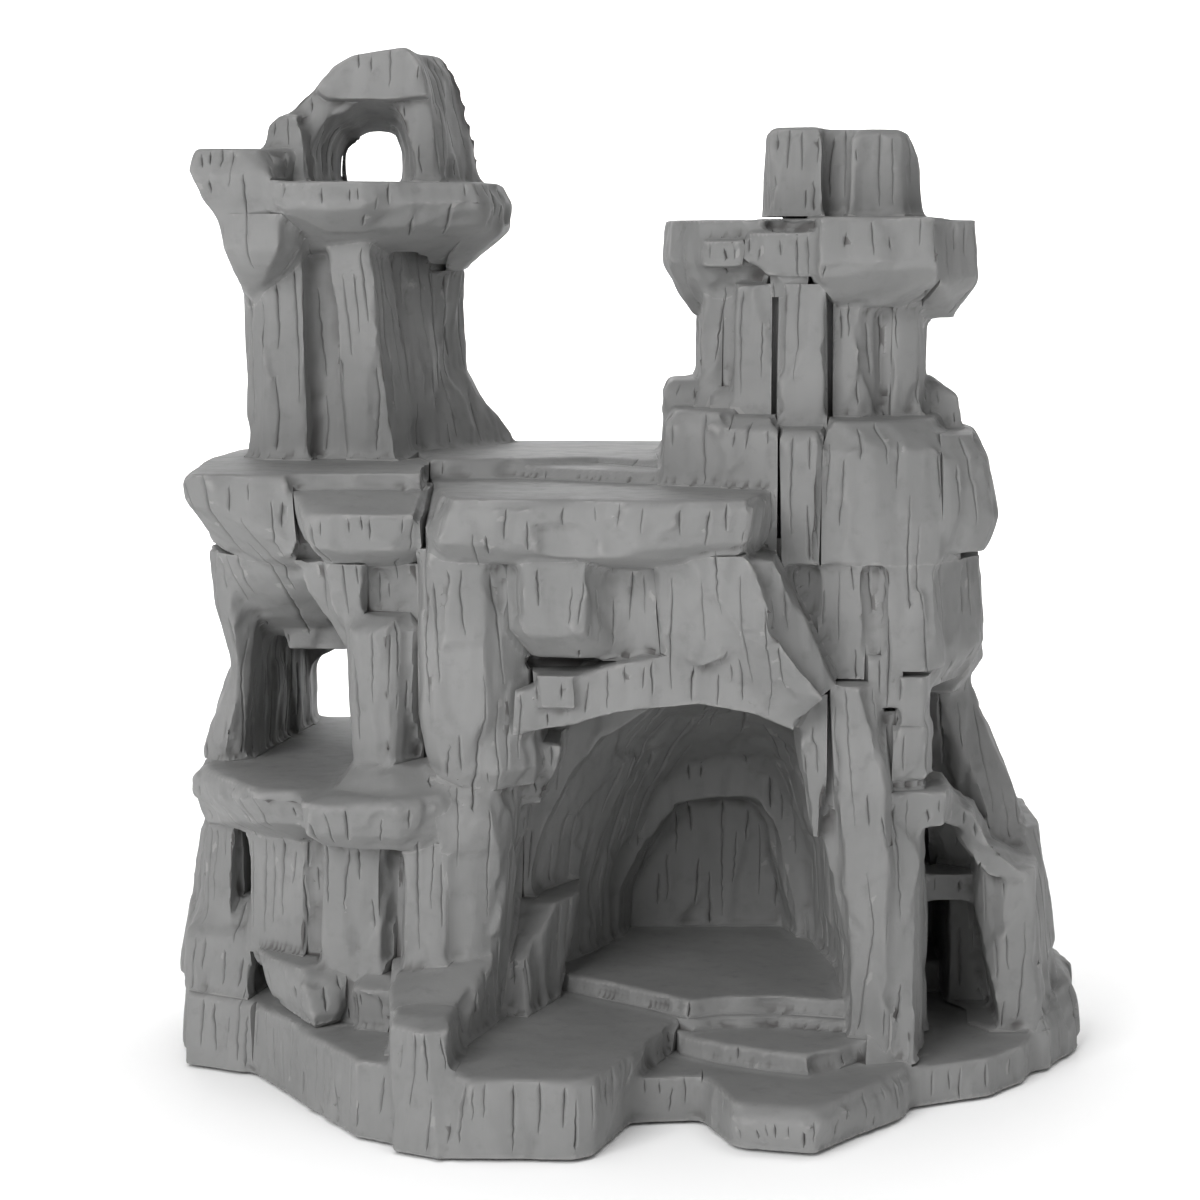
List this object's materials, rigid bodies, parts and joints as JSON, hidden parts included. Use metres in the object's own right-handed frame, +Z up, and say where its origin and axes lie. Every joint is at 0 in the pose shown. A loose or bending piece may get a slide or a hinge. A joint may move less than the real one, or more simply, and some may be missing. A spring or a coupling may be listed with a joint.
{
  "type": "cave ornament",
  "caption": "Hollow grey rock castle ornament with two towers, a bridge, a walk-through cave and a window chamber, standing on rubber pads.",
  "frame": {"origin": "middle of the footprint's bounding box, on the floor", "axes": "+Z up, -Y towards the viewer who looks into the cave, +X to that viewer's right"},
  "size_m": [0.374, 0.26, 0.407],
  "materials": {
    "cast_resin": "matte",
    "plate_resin": "matte",
    "rubber": "matte"
  },
  "bodies": {
    "root": {"arch_boulders": "cast_resin", "balcony_sill": "cast_resin", "base": "cast_resin", "bottom_plate": "plate_resin", "bridge_deck": "cast_resin", "cave_liner": "cast_resin", "central_pier": "cast_resin", "chamber_pillar": "cast_resin", "chamber_walls": "cast_resin", "left_battlement": "cast_resin", "left_foot_rocks": "cast_resin", "left_ledge": "cast_resin", "left_tower_arch": "cast_resin", "left_tower_shaft": "cast_resin", "rear_wall": "cast_resin", "right_battlement": "cast_resin", "right_buttress": "cast_resin", "right_column": "cast_resin", "right_tower_cap": "cast_resin", "right_tower_middle": "cast_resin", "right_tower_shaft": "cast_resin", "rubber_feet": "rubber"}
  },
  "joints": []
}
